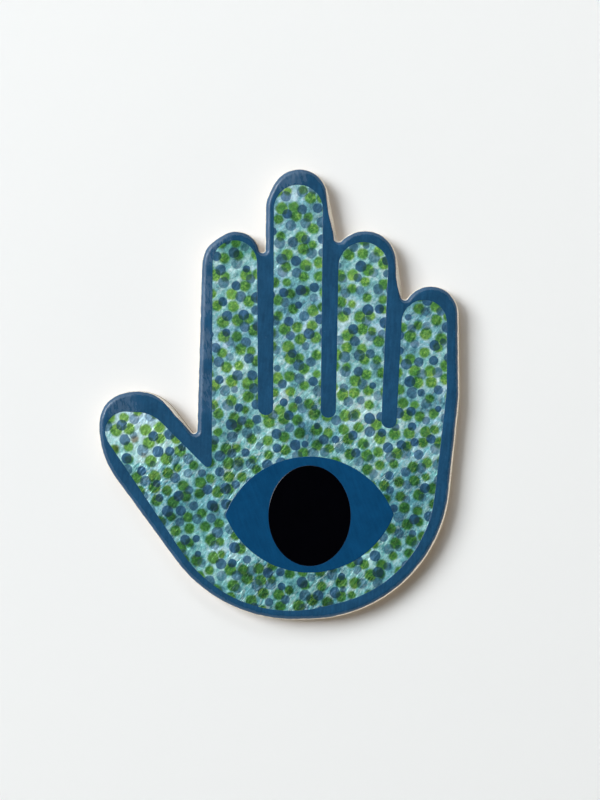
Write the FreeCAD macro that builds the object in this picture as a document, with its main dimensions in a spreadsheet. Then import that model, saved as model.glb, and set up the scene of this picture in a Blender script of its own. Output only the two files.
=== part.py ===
import FreeCAD, Part
import math
import os
from dataclasses import dataclass

import Sketcher
from FreeCAD import Vector

# Hamsa hand ornament: a hand-shaped board, rounded over at its front edge, with a leaf laid on its front,
# an enamel border and finger bars round the leaf, an enamel eye on it, and a flush keyhole plate in its back.
# Millimetres. +Z runs up along the fingers, +X to the right seen from the front, and the front faces -Y.
# The origin is the middle of the keyhole's round entry, in the plane of the board's back.

sizes = {
    # Board
    "hand_width": 208.0,
    "hand_height": 260.0,
    "board_thickness": 9.0,
    "board_roundover": 3.3,
    "notch_radius": 1.4,
    # Coats on the front
    "bare_rim": 0.8,
    "enamel_film": 0.3,
    "leaf_film": 0.2,
    "eye_film": 0.15,
    "pupil_film": 0.15,
    # Bars between the fingers, and the wedge beside the thumb
    "bar_width": 8.6,
    "wedge_width": 4.6,
    # Eye
    "eye_width": 97.0,
    "eye_height": 67.0,
    "eye_corner": 1.8,
    "pupil_width": 47.5,
    "pupil_height": 58.0,
    "pupil_drop": 0.7,
    # Keyhole plate, and the pocket behind it
    "plate_length": 44.0,
    "plate_width": 15.0,
    "plate_thickness": 1.2,
    "plate_clearance": 0.15,
    "plate_rise": 4.0,
    "entry_diameter": 8.0,
    "slot_width": 4.0,
    "slot_rise": 9.0,
    "pocket_margin": 0.8,
    "pocket_cover": 3.2,
    # Plate screws
    "screw_inset": 4.5,
    "screw_diameter": 2.6,
    "screw_clearance": 0.1,
    "screw_cover": 1.8,
    "screw_tip": 1.6,
    "countersink_land": 0.2,
    "recess_length": 2.6,
    "recess_width": 0.6,
    "recess_depth": 0.7,
    # Wall pads
    "pad_diameter": 12.0,
    "pad_thickness": 1.5,
    "pad_edge": 0.3,
}


@dataclass(frozen=True)
class Round:
    """One round of an outline.

    Its centre is placed by shares: a level of the hand's height, held at the round's crown, centre or foot,
    and across and radius of its width. A round beside another one is placed from that one's centre, by across
    and rise, both of the hand's width. A round that touches another one is placed by the bearing from its
    centre, in degrees counter-clockwise from the right.
    """

    level_share: float = None
    radius_share: float = None
    across_share: float = None
    held: str = "centre"
    inward: bool = False
    radius_size: str = None
    beside: str = None
    rise_share: float = None
    touches: str = None
    bearing: float = None


# Share of its radius by which a round's centre lies under the level that places it.
held_shares = {"crown": 1, "centre": 0, "foot": -1}


def notch(**place):
    """A notch between two fingers, as wide as the notch radius."""
    return Round(inward=True, radius_size="Sizes.notch_radius", **place)


def bar_end(level_share, across_share, radius_size="Sizes.bar_width / 2"):
    """The round lower end of an enamel bar, which reaches into the leaf."""
    return Round(level_share, None, across_share, "foot", inward=True, radius_size=radius_size)


# The board's edge, counter-clockwise from the left of the heel.
board_shares = {
    "heel_left": Round(-0.6425, 0.4105, -0.021, "foot"),
    "heel_right": Round(-0.642, 0.395, 0.017, "foot"),
    "palm_side": Round(-0.142, 0.2175, 0.2197),
    "little_tip": Round(0.098, 0.078, 0.357, "crown"),
    "little_notch": notch(touches="little_tip", bearing=146.12),
    "ring_tip": Round(0.221, 0.0895, 0.175, "crown"),
    "ring_notch": notch(touches="ring_tip", bearing=136.51),
    "middle_tip": Round(0.3575, 0.081, -0.007, "crown"),
    "middle_side": Round(None, 0.0995, 0.005, beside="middle_tip", rise_share=-0.0309),
    "middle_notch": notch(touches="index_tip", bearing=12.96),
    "index_tip": Round(0.2195, 0.069, -0.1825, "crown"),
    "index_side": Round(None, 0.082, -0.0135, beside="index_tip", rise_share=-0.0241),
    "thumb_notch": notch(level_share=-0.228, across_share=-0.298, held="foot"),
    "thumb_top": Round(radius_share=0.133, touches="thumb_tip", bearing=-64.58),
    "thumb_tip": Round(-0.206, 0.0847, -0.4781),
    "thumb_side": Round(radius_share=0.248, touches="thumb_tip", bearing=-3.07),
}

# The edge of the leaf, counter-clockwise from the left of the heel, in and out round the bars.
leaf_shares = {
    "heel_left": Round(-0.622, 0.3605, -0.0305, "foot"),
    "heel_right": Round(-0.612, 0.3465, 0.024, "foot"),
    "palm_side": Round(-0.124, 0.1605, 0.2413),
    "little_tip": Round(0.067, 0.063, 0.3388, "crown"),
    "little_bar": bar_end(-0.217, 0.2413),
    "ring_tip": Round(0.195, 0.069, 0.17, "crown"),
    "ring_bar": bar_end(-0.194, 0.0733),
    "middle_tip": Round(0.322, 0.068, -0.0097, "crown"),
    "middle_bar": bar_end(-0.188, -0.1002),
    "index_tip": Round(0.199, 0.0617, -0.1854, "crown"),
    "wedge": bar_end(-0.303, -0.261, "Sizes.wedge_width / 2"),
    "thumb_top": Round(-0.1813, 0.0996, -0.4587, "crown"),
    "thumb_tip": Round(None, 0.0553, -0.0305, beside="thumb_top", rise_share=0.0453),
}

outline_shares = {"board": board_shares, "leaf": leaf_shares}

# Centre of the eye, and centres of the wall pads: shares of the hand's width and of its height.
place_shares = {
    "eye": (0.0213, -0.4086),
    "pad_middle": (-0.006, 0.27),
    "pad_left": (-0.25, -0.45),
    "pad_right": (0.26, -0.45),
}
pad_names = ("pad_middle", "pad_left", "pad_right")

board_front = "Sizes.board_thickness"
round_depth = "(Sizes.board_roundover + Sizes.enamel_film)"
pocket_radius = "(Sizes.entry_diameter / 2 + Sizes.pocket_margin)"
# Levels of the centres of the plate's round lower and upper ends.
plate_ends = [f"Sizes.plate_rise {sign} (Sizes.plate_length - Sizes.plate_width) / 2" for sign in "-+"]
screw_spacing = "(Sizes.plate_length - 2 * Sizes.screw_inset)"
screw_radius = "(Sizes.screw_diameter / 2)"
pilot_radius = "(Sizes.screw_diameter / 2 + Sizes.screw_clearance)"
countersink = "(Sizes.plate_thickness - Sizes.countersink_land)"
screw_length = "(Sizes.board_thickness - Sizes.screw_cover)"


def fill_sheet(doc):
    """Write every driving size and share into the sheet, one row each."""
    sheet = doc.addObject("Spreadsheet::Sheet", "Sizes")
    cells = dict(sizes)
    for table, rounds in outline_shares.items():
        for name, spec in rounds.items():
            for field in ("across_share", "level_share", "radius_share", "rise_share", "bearing"):
                number = getattr(spec, field)
                if number is not None:
                    cells[f"{table}_{name}_{field}"] = number
    for name, (across, level) in place_shares.items():
        cells[f"{name}_across_share"] = across
        cells[f"{name}_level_share"] = level
    for row, (alias, number) in enumerate(cells.items(), start=1):
        sheet.set(f"A{row}", alias.replace("_", " "))
        sheet.set(f"B{row}", str(number))
        sheet.setAlias(f"B{row}", alias)
    doc.recompute()
    return sheet


def value(expression):
    """Number that an expression of the sheet's sizes comes to."""
    return float(sheet.evalExpression(expression))


def place_across(name):
    """Expression for how far to the right a named place lies."""
    return f"Sizes.hand_width * Sizes.{name}_across_share"


def place_level(name):
    """Expression for how far up a named place lies."""
    return f"Sizes.hand_height * Sizes.{name}_level_share"


def new_body(name):
    """An empty body for one piece."""
    body = doc.addObject("PartDesign::Body", name)
    body.Label = name
    return body


def new_sketch(body, name, plane="XZ_Plane"):
    """A sketch on one of the body's own origin planes. On XZ_Plane its normal runs along -Y, to the front."""
    sketch = body.newObject("Sketcher::SketchObject", name)
    support = next(feature for feature in body.Origin.OriginFeatures if feature.Role == plane)
    sketch.AttachmentSupport = [(support, "")]
    sketch.MapMode = "FlatFace"
    return sketch


def bind(sketch, constraint, name, expression):
    """Add a dimension to a sketch, name it and tie it to the sheet."""
    index = sketch.addConstraint(constraint)
    sketch.renameConstraint(index, name)
    sketch.setExpression(f"Constraints.{name}", expression)


def hold(sketch, name, geometry, point, across=None, up=None):
    """Fix a point of a sketch by expressions. A missing expression puts it on the sketch's own axis."""
    if across is None:
        sketch.addConstraint(Sketcher.Constraint("PointOnObject", geometry, point, -2))
    else:
        distance = Sketcher.Constraint("DistanceX", -1, 1, geometry, point, value(across))
        bind(sketch, distance, f"{name}_across", across)
    if up is None:
        sketch.addConstraint(Sketcher.Constraint("PointOnObject", geometry, point, -1))
    else:
        distance = Sketcher.Constraint("DistanceY", -1, 1, geometry, point, value(up))
        bind(sketch, distance, f"{name}_up", up)


def add_circle(sketch, name, radius, across=None, up=None):
    """A full circle with its centre and radius tied to the sheet."""
    centre = Vector(value(across or "0"), value(up or "0"), 0)
    circle = sketch.addGeometry(Part.Circle(centre, Vector(0, 0, 1), value(radius)))
    hold(sketch, name, circle, 3, across, up)
    bind(sketch, Sketcher.Constraint("Radius", circle, value(radius)), f"{name}_radius", radius)
    return circle


def add_arc(sketch, centre, radius, start, end):
    """A counter-clockwise arc from the direction of one point to the direction of another."""
    first = math.atan2(start.y - centre.y, start.x - centre.x)
    last = math.atan2(end.y - centre.y, end.x - centre.x)
    if last < first:
        last += 2 * math.pi
    return sketch.addGeometry(Part.ArcOfCircle(Part.Circle(centre, Vector(0, 0, 1), radius), first, last))


def add_polygon(sketch, name, points):
    """A closed polygon. Each point is a pair of expressions, or None where it lies on an axis."""
    corners = [Vector(value(across or "0"), value(up or "0"), 0) for across, up in points]
    count = len(corners)
    lines = [
        sketch.addGeometry(Part.LineSegment(corners[i], corners[(i + 1) % count]))
        for i in range(count)
    ]
    for i, (across, up) in enumerate(points):
        sketch.addConstraint(Sketcher.Constraint("Coincident", lines[i - 1], 2, lines[i], 1))
        hold(sketch, f"{name}_{i}", lines[i], 1, across, up)


def add_slot(sketch, name, radius, low, high):
    """An upright slot with round ends, on the sketch's vertical axis, from centre low to centre high."""
    reach, bottom, top = value(radius), value(low or "0"), value(high)
    upper = add_arc(sketch, Vector(0, top, 0), reach, Vector(reach, top, 0), Vector(-reach, top, 0))
    lower = add_arc(sketch, Vector(0, bottom, 0), reach, Vector(-reach, bottom, 0), Vector(reach, bottom, 0))
    left = sketch.addGeometry(Part.LineSegment(Vector(-reach, top, 0), Vector(-reach, bottom, 0)))
    right = sketch.addGeometry(Part.LineSegment(Vector(reach, bottom, 0), Vector(reach, top, 0)))
    for first, second in ((upper, left), (left, lower), (lower, right), (right, upper)):
        sketch.addConstraint(Sketcher.Constraint("Tangent", first, 2, second, 1))
    sketch.addConstraint(Sketcher.Constraint("Equal", upper, lower))
    hold(sketch, f"{name}_low", lower, 3, None, low)
    hold(sketch, f"{name}_high", upper, 3, None, high)
    bind(sketch, Sketcher.Constraint("Radius", upper, reach), f"{name}_radius", radius)


@dataclass
class LaidRound:
    """A round at its place in the sketch, with the expressions that put it there.

    Its turn is 1 if it bulges out of the shape that it bounds, and -1 if it bulges in.
    """

    centre: Vector
    radius: float
    turn: int
    across: str
    up: str
    radius_expression: str
    touches: str


def full_radius(table, name):
    """Expression for the radius of a round before any inset."""
    return outline_shares[table][name].radius_size or f"Sizes.hand_width * Sizes.{table}_{name}_radius_share"


def round_centre(table, name):
    """Expressions for how far across and how far up a round's centre lies."""
    spec = outline_shares[table][name]
    key = f"Sizes.{table}_{name}"
    if spec.touches:
        across, up = round_centre(table, spec.touches)
        own, other = full_radius(table, name), full_radius(table, spec.touches)
        sign = "-" if spec.inward == outline_shares[table][spec.touches].inward else "+"
        apart = f"abs(({other}) {sign} ({own}))"
        return f"{across} + {apart} * cos({key}_bearing)", f"{up} + {apart} * sin({key}_bearing)"
    if spec.beside:
        across, up = round_centre(table, spec.beside)
        beyond, higher = (f"Sizes.hand_width * {key}_{field}_share" for field in ("across", "rise"))
        return f"{across} + {beyond}", f"{up} + {higher}"
    drop = f"{held_shares[spec.held]} * ({full_radius(table, name)})"
    return f"Sizes.hand_width * {key}_across_share", f"Sizes.hand_height * {key}_level_share - {drop}"


def lay_rounds(table, inset):
    """Put every round of an outline at its place. The outline then lies inset within the drawn one."""
    laid = {}
    for name, spec in outline_shares[table].items():
        across, up = round_centre(table, name)
        sign = "+" if spec.inward else "-"
        radius = f"{full_radius(table, name)} {sign} ({inset})"
        centre = Vector(value(across), value(up), 0)
        turn = -1 if spec.inward else 1
        laid[name] = LaidRound(centre, value(radius), turn, across, up, radius, spec.touches)
    return laid


def meeting(names, laid, index):
    """Where one round ends and where the next one starts: the same point if they touch."""
    name, follower = names[index], names[(index + 1) % len(names)]
    first, second = laid[name], laid[follower]
    between = second.centre - first.centre
    radius_step = second.turn * second.radius - first.turn * first.radius
    if first.touches == follower or second.touches == name:
        outer = -1 if first.turn == second.turn and radius_step * first.turn > 0 else 1
        contact = first.centre + between.normalize() * (outer * first.radius)
        return contact, contact
    heading = math.atan2(between.y, between.x) - math.asin(radius_step / between.Length)
    leftward = Vector(-math.sin(heading), math.cos(heading), 0)
    leave = first.centre - leftward * (first.turn * first.radius)
    arrive = second.centre - leftward * (second.turn * second.radius)
    return leave, arrive


def draw_outline(body, name, table, inset="0"):
    """A sketch of a whole outline: its rounds as arcs, and straight edges that run tangent between them."""
    sketch = new_sketch(body, name)
    laid = lay_rounds(table, inset)
    names = list(laid)
    meetings = [meeting(names, laid, index) for index in range(len(names))]
    arcs = []
    for index, item in enumerate(laid.values()):
        ends = [meetings[index - 1][1], meetings[index][0]]
        if item.turn < 0:
            ends.reverse()
        arcs.append(add_arc(sketch, item.centre, item.radius, *ends))
    constraints = []
    for index, (leave, arrive) in enumerate(meetings):
        follower = (index + 1) % len(names)
        out_point = 2 if laid[names[index]].turn > 0 else 1
        in_point = 1 if laid[names[follower]].turn > 0 else 2
        first, second = arcs[index], arcs[follower]
        if leave is arrive:
            constraints.append(Sketcher.Constraint("Tangent", first, out_point, second, in_point))
            continue
        edge = sketch.addGeometry(Part.LineSegment(leave, arrive))
        constraints.append(Sketcher.Constraint("Tangent", first, out_point, edge, 1))
        constraints.append(Sketcher.Constraint("Tangent", edge, 2, second, in_point))
    sketch.addConstraint(constraints)
    for arc, (label, item) in zip(arcs, laid.items()):
        radius = Sketcher.Constraint("Radius", arc, item.radius)
        bind(sketch, radius, f"{label}_radius", item.radius_expression)
        up = Sketcher.Constraint("DistanceY", -1, 1, arc, 3, item.centre.y)
        bind(sketch, up, f"{label}_up", item.up)
        # The contact with its neighbour already settles how far across a touching round lies.
        if not item.touches:
            across = Sketcher.Constraint("DistanceX", -1, 1, arc, 3, item.centre.x)
            bind(sketch, across, f"{label}_across", item.across)
    return sketch


def add_pad(body, sketch, name, length, backward=False):
    """Pad a sketch to the front, or to the back."""
    pad = body.newObject("PartDesign::Pad", name)
    pad.Profile = sketch
    pad.setExpression("Length", length)
    pad.Reversed = backward
    doc.recompute()
    return pad


def add_pocket(body, sketch, name, length, through=False):
    """Cut a sketch into the solid from the back plane towards the front."""
    pocket = body.newObject("PartDesign::Pocket", name)
    pocket.Profile = sketch
    pocket.Reversed = True
    if through:
        pocket.Type = "ThroughAll"
    else:
        pocket.setExpression("Length", length)
    doc.recompute()
    return pocket


def dress(body, kind, name, feature, picks, size_name, size):
    """Fillet or chamfer the picked faces or edges of a feature."""
    dressing = body.newObject(f"PartDesign::{kind}", name)
    dressing.Base = (feature, picks)
    dressing.setExpression(size_name, size)
    doc.recompute()
    return dressing


def front_face(feature):
    """Name of the face of a feature that lies furthest to the front."""
    faces = feature.Shape.Faces
    nearest = min(range(len(faces)), key=lambda index: faces[index].CenterOfMass.y)
    return f"Face{nearest + 1}"


def rounded_board(body, table, inset, depth, radius):
    """Pad an outline and round over its front edge."""
    pad = add_pad(body, draw_outline(body, f"{body.Name}_outline", table, inset), f"{body.Name}_pad", depth)
    return dress(body, "Fillet", f"{body.Name}_roundover", pad, [front_face(pad)], "Radius", radius)


def screw_level(end):
    """Expression for the height of the lower (-1) or the upper (1) plate screw."""
    return f"Sizes.plate_rise + {end} * {screw_spacing} / 2"


def make_hand_board():
    """The board, with the plate's recess, the hanger pocket and the screws' pilot holes in its back."""
    body = new_body("hand_board")
    rounded_board(body, "board", "0", board_front, "Sizes.board_roundover")

    recess = new_sketch(body, "plate_recess_outline")
    recess_radius = "Sizes.plate_width / 2 + Sizes.plate_clearance"
    add_slot(recess, "recess", recess_radius, *plate_ends)
    add_pocket(body, recess, "plate_recess", "Sizes.plate_thickness")

    pocket = new_sketch(body, "hanger_pocket_outline")
    add_slot(pocket, "pocket", pocket_radius, None, "Sizes.slot_rise")
    add_pocket(body, pocket, "hanger_pocket", "Sizes.board_thickness - Sizes.pocket_cover")

    pilots = new_sketch(body, "pilot_outline")
    for name, end in (("lower", -1), ("upper", 1)):
        add_circle(pilots, name, pilot_radius, None, screw_level(end))
    add_pocket(body, pilots, "pilot_holes", f"{screw_length} + Sizes.screw_clearance")
    return body


def make_leaf_field():
    """The leaf, laid flat on the front of the board inside the border."""
    body = new_body("leaf_field")
    add_pad(body, draw_outline(body, "leaf_outline", "leaf"), "leaf_pad", "Sizes.leaf_film")
    body.setExpression("Placement.Base.y", f"-{board_front}")
    return body


def make_border_enamel(board):
    """The border: a coat over the board's rounded edge that stops short of its rim, open at the leaf."""
    coat = new_body("border_coat")
    rounded_board(coat, "board", "-Sizes.enamel_film", round_depth + " + Sizes.board_roundover", round_depth)
    coat.setExpression("Placement.Base.y", "2 * Sizes.board_roundover - Sizes.board_thickness")

    blank = new_body("border_blank")
    add_pad(blank, draw_outline(blank, "blank_outline", "board", "Sizes.bare_rim"), "blank_pad", round_depth)
    add_pocket(blank, draw_outline(blank, "window_outline", "leaf"), "leaf_window", None, through=True)
    blank.setExpression("Placement.Base.y", "Sizes.board_roundover - Sizes.board_thickness")

    trimmed = doc.addObject("Part::Common", "trimmed_coat")
    trimmed.Base = coat
    trimmed.Tool = blank
    border = doc.addObject("Part::Cut", "border_enamel")
    border.Base = trimmed
    border.Tool = board
    border.Label = "border_enamel"
    return border


def make_eye_enamel():
    """The almond of the eye: two lids of one radius, joined by small rounds at the corners."""
    body = new_body("eye_enamel")
    sketch = new_sketch(body, "eye_outline")
    half_width = "(Sizes.eye_width / 2 - Sizes.eye_corner)"
    half_height = "(Sizes.eye_height / 2 - Sizes.eye_corner)"
    lid_radius = f"({half_width} ^ 2 + {half_height} ^ 2) / (2 * {half_height}) + Sizes.eye_corner"
    lid, corner = value(lid_radius), value("Sizes.eye_corner")
    drop = lid - value("Sizes.eye_height") / 2
    reach = value(half_width)
    tip = Vector(reach, drop, 0).normalize() * lid
    right, left = Vector(reach, 0, 0), Vector(-reach, 0, 0)
    low, high = Vector(0, -drop, 0), Vector(0, drop, 0)
    upper_right, upper_left = low + tip, low + Vector(-tip.x, tip.y, 0)
    lower_right, lower_left = high + Vector(tip.x, -tip.y, 0), high - tip
    upper = add_arc(sketch, low, lid, upper_right, upper_left)
    left_corner = add_arc(sketch, left, corner, upper_left, lower_left)
    lower = add_arc(sketch, high, lid, lower_left, lower_right)
    right_corner = add_arc(sketch, right, corner, lower_right, upper_right)
    chain = (upper, left_corner, lower, right_corner)
    for first, second in zip(chain, chain[1:] + chain[:1]):
        sketch.addConstraint(Sketcher.Constraint("Tangent", first, 2, second, 1))
    hold(sketch, "right", right_corner, 3, half_width)
    hold(sketch, "left", left_corner, 3, f"-{half_width}")
    for name, arc in (("right", right_corner), ("left", left_corner)):
        bind(sketch, Sketcher.Constraint("Radius", arc, corner), f"{name}_radius", "Sizes.eye_corner")
    for name, arc in (("upper", upper), ("lower", lower)):
        bind(sketch, Sketcher.Constraint("Radius", arc, lid), f"{name}_radius", lid_radius)
    add_pad(body, sketch, "eye_pad", "Sizes.eye_film")
    body.setExpression("Placement.Base.x", place_across("eye"))
    body.setExpression("Placement.Base.y", f"-{board_front} - Sizes.leaf_film")
    body.setExpression("Placement.Base.z", place_level("eye"))
    return body


def make_pupil_enamel():
    """The upright oval of the pupil, on the eye."""
    body = new_body("pupil_enamel")
    sketch = new_sketch(body, "pupil_outline")
    half_height, half_width = value("Sizes.pupil_height / 2"), value("Sizes.pupil_width / 2")
    top, side = Vector(0, half_height, 0), Vector(-half_width, 0, 0)
    oval = sketch.addGeometry(Part.Ellipse(top, side, Vector(0, 0, 0)))
    sketch.exposeInternalGeometry(oval)
    major, minor = oval + 1, oval + 2
    sketch.addConstraint(Sketcher.Constraint("Coincident", oval, 3, -1, 1))
    sketch.addConstraint(Sketcher.Constraint("Vertical", major))
    major_length = Sketcher.Constraint("Distance", major, 1, major, 2, 2 * half_height)
    bind(sketch, major_length, "pupil_height", "Sizes.pupil_height")
    minor_length = Sketcher.Constraint("Distance", minor, 1, minor, 2, 2 * half_width)
    bind(sketch, minor_length, "pupil_width", "Sizes.pupil_width")
    add_pad(body, sketch, "pupil_pad", "Sizes.pupil_film")
    body.setExpression("Placement.Base.x", place_across("eye"))
    body.setExpression("Placement.Base.y", f"-{board_front} - Sizes.leaf_film - Sizes.eye_film")
    body.setExpression("Placement.Base.z", f"{place_level('eye')} - Sizes.pupil_drop")
    return body


def make_keyhole_plate():
    """The hanger plate: countersunk screw holes near its ends, a round entry and the slot above it."""
    body = new_body("keyhole_plate")
    outline = new_sketch(body, "plate_outline")
    add_slot(outline, "plate", "Sizes.plate_width / 2", *plate_ends)
    add_pad(body, outline, "plate_pad", "Sizes.plate_thickness")

    holes = new_sketch(body, "screw_hole_outline")
    for name, end in (("lower", -1), ("upper", 1)):
        add_circle(holes, name, pilot_radius, None, screw_level(end))
    drilled = add_pocket(body, holes, "screw_holes", None, through=True)
    rims = [
        f"Edge{number}"
        for number, edge in enumerate(drilled.Shape.Edges, start=1)
        if edge.Closed and edge.CenterOfMass.y > -value("Sizes.plate_thickness") / 2
    ]
    dress(body, "Chamfer", "countersinks", drilled, rims, "Size", countersink)

    entry = new_sketch(body, "entry_outline")
    add_circle(entry, "entry", "Sizes.entry_diameter / 2")
    add_pocket(body, entry, "entry", None, through=True)
    slot = new_sketch(body, "slot_outline")
    add_slot(slot, "slot", "Sizes.slot_width / 2", None, "Sizes.slot_rise")
    add_pocket(body, slot, "slot", None, through=True)
    return body


def make_plate_screws():
    """Two countersunk screws with crossed recesses, flush with the plate."""
    body = new_body("plate_screws")
    profile = new_sketch(body, "screw_profile", "YZ_Plane")
    head_radius = f"{screw_radius} + {countersink}"
    shank_end = f"-({screw_length} - Sizes.screw_tip)"
    half_profile = [
        (None, None),
        (None, head_radius),
        (f"-{countersink}", screw_radius),
        (shank_end, screw_radius),
        (f"-{screw_length}", None),
    ]
    add_polygon(profile, "screw", half_profile)
    turned = body.newObject("PartDesign::Revolution", "turned_screw")
    turned.Profile = profile
    turned.ReferenceAxis = (profile, ["H_Axis"])
    turned.Angle = 360
    doc.recompute()

    recesses = []
    long_half, short_half = "Sizes.recess_length / 2", "Sizes.recess_width / 2"
    arms = (("recess_level", long_half, short_half), ("recess_upright", short_half, long_half))
    for name, across, up in arms:
        sketch = new_sketch(body, f"{name}_outline")
        corners = [(across, up), (f"-{across}", up), (f"-{across}", f"-{up}"), (across, f"-{up}")]
        add_polygon(sketch, name, corners)
        recesses.append(add_pocket(body, sketch, name, "Sizes.recess_depth"))

    pair = body.newObject("PartDesign::LinearPattern", "screw_pair")
    pair.Originals = [turned, *recesses]
    upward = next(feature for feature in body.Origin.OriginFeatures if feature.Role == "Z_Axis")
    pair.Direction = (upward, [""])
    pair.Occurrences = 2
    pair.setExpression("Length", screw_spacing)
    body.Tip = pair
    body.setExpression("Placement.Base.z", screw_level(-1))
    return body


def make_wall_pads():
    """Thin round pads stuck to the back, with a softened outer edge."""
    body = new_body("wall_pads")
    sketch = new_sketch(body, "pads_outline")
    for name in pad_names:
        add_circle(sketch, name, "Sizes.pad_diameter / 2", place_across(name), place_level(name))
    pad = add_pad(body, sketch, "pads_pad", "Sizes.pad_thickness", backward=True)
    rims = [
        f"Edge{number}"
        for number, edge in enumerate(pad.Shape.Edges, start=1)
        if edge.Closed and edge.CenterOfMass.y > value("Sizes.pad_thickness") / 2
    ]
    dress(body, "Fillet", "pads_edge", pad, rims, "Radius", "Sizes.pad_edge")
    return body


def check_document(pieces):
    """Stop if any object failed, any sketch is loose, any cut removed nothing or any piece is not sound."""
    for item in doc.Objects:
        if "Invalid" in item.State or "Error" in item.State:
            raise RuntimeError(f"{item.Name} failed: {item.State}")
        if item.TypeId == "Sketcher::SketchObject" and not item.FullyConstrained:
            raise RuntimeError(f"{item.Name} is not fully constrained")
        if item.TypeId == "PartDesign::Pocket" and item.Shape.Volume >= item.BaseFeature.Shape.Volume:
            raise RuntimeError(f"{item.Name} cuts nothing")
    for piece in pieces:
        if piece.Shape.isNull() or not piece.Shape.isValid() or not piece.Shape.Solids:
            raise RuntimeError(f"{piece.Label} is not a sound solid")


doc = FreeCAD.newDocument("hamsa_hand")
sheet = fill_sheet(doc)
hand_board = make_hand_board()
pieces = [
    hand_board,
    make_leaf_field(),
    make_border_enamel(hand_board),
    make_eye_enamel(),
    make_pupil_enamel(),
    make_keyhole_plate(),
    make_plate_screws(),
    make_wall_pads(),
]
doc.recompute()
check_document(pieces)

os.makedirs("parts", exist_ok=True)
for piece in pieces:
    piece.Shape.exportStep(f"parts/{piece.Label}.step")
    print(f"{piece.Label}: {len(piece.Shape.Solids)} solids, {piece.Shape.Volume:.1f} cubic millimetres")
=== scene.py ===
"""Looks of the hamsa hand ornament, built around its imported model.

Metres. +X is right and +Z up as seen from the front, and the decorated front faces -Y.
"""

import logging
import math
from dataclasses import dataclass
from enum import Enum
from typing import Any, Callable, Iterable

import bmesh
import bpy
from mathutils import Matrix, Vector, kdtree, noise


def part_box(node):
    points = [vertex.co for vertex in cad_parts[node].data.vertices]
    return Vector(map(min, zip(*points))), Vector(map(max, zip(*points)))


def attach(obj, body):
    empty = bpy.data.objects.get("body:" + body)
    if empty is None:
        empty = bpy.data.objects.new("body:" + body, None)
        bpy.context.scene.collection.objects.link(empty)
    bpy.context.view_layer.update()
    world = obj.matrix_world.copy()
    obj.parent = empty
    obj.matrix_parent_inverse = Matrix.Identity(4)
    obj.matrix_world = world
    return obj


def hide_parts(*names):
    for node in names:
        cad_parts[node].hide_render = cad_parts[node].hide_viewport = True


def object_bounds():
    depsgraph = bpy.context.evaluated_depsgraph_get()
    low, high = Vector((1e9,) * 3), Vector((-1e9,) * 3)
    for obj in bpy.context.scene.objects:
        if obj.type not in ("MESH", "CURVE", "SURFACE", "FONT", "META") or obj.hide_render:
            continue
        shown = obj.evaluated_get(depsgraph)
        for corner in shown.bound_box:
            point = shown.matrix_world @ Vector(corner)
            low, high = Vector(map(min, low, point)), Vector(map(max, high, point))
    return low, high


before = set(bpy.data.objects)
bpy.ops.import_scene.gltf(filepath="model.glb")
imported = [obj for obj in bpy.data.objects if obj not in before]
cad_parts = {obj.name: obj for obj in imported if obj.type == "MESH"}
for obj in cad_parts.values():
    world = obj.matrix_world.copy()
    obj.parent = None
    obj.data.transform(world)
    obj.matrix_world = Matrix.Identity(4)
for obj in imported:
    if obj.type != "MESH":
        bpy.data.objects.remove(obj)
CAD_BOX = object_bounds()

MM = 0.001
WELD = 1e-6  # Distance within which two points are one.
TOUCH = 1e-5  # Distance within which two levels are the same.
FLAT = math.radians(0.2)  # Angle under which two faces are one flat face.
UPRIGHT = 0.5  # Y of a normal, under which a face stands square to the front.
QUARTER = math.pi / 2
LAYERS = (1.0, 2.0, 3)  # How a noise's layers weaken and get finer, and how many they are.
BODY = "root"

Triple = tuple[float, float, float]
Colour = Triple
Relief = Callable[[Vector], float]
Profile = list[tuple[float, float]]
Vert = bmesh.types.BMVert
Edge = bmesh.types.BMEdge
Piece = bpy.types.Object

log = logging.getLogger("hamsa_hand")


class Slot(Enum):
    """Material slots of the record."""

    BOARD = "board"
    LEAF = "leaf"
    BORDER = "border"
    EYE = "eye"
    PUPIL = "pupil"
    PLATE = "plate"
    SCREWS = "screws"
    PADS = "pads"


class Effect(Enum):
    """Surface effects that several finishes share, each one node group."""

    MOTTLE = "mottle"
    SPECKS = "specks"
    CREASES = "creases"
    WORN_LEVEL = "worn_level"
    INK_DOTS = "ink_dots"
    STAIN = "stain"


def held(value: float) -> float:
    """A number, held between 0 and 1."""
    return min(1.0, max(0.0, value))


def soft_noise(point: Vector) -> float:
    """Soft noise from 0 to 1 at a point."""
    return 0.5 + 0.5 * noise.noise(point)


def unevenness(size: float, height: float, seed: float = 0.0) -> Relief:
    """Make a soft hand-worked unevenness that only sinks below the drawn surface.

    Args:
        size: Width of one hollow, in metres.
        height: Depth of the deepest hollow, in metres.
        seed: Shift that gives another pattern of the same kind.

    Returns:
        A function from a point to the depth there.
    """
    shift = Vector((seed, seed, seed))
    mean, swing = 0.5, 0.6

    def depth(point: Vector) -> float:
        """Depth at a point."""
        value = noise.fractal(point / size + shift, *LAYERS)
        return height * held(mean + swing * value)

    return depth


def is_rim(edge: Edge, level: float) -> bool:
    """Tell whether an edge lies in a level plane and bounds a face that stands square to it."""
    flat = all(abs(vert.co.y - level) < TOUCH for vert in edge.verts)
    return flat and any(abs(face.normal.y) < UPRIGHT for face in edge.link_faces)


def walk(start: Vert, edges: set[Edge]) -> list[Vert]:
    """Follow a closed loop of edges.

    Args:
        start: Vertex to start from.
        edges: Edges that may be followed.

    Returns:
        The loop's vertices in order.
    """
    loop = [start]
    last = None
    while True:
        last = next(edge for edge in loop[-1].link_edges if edge in edges and edge != last)
        follower = last.other_vert(loop[-1])
        if follower == start:
            return loop
        loop.append(follower)


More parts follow.
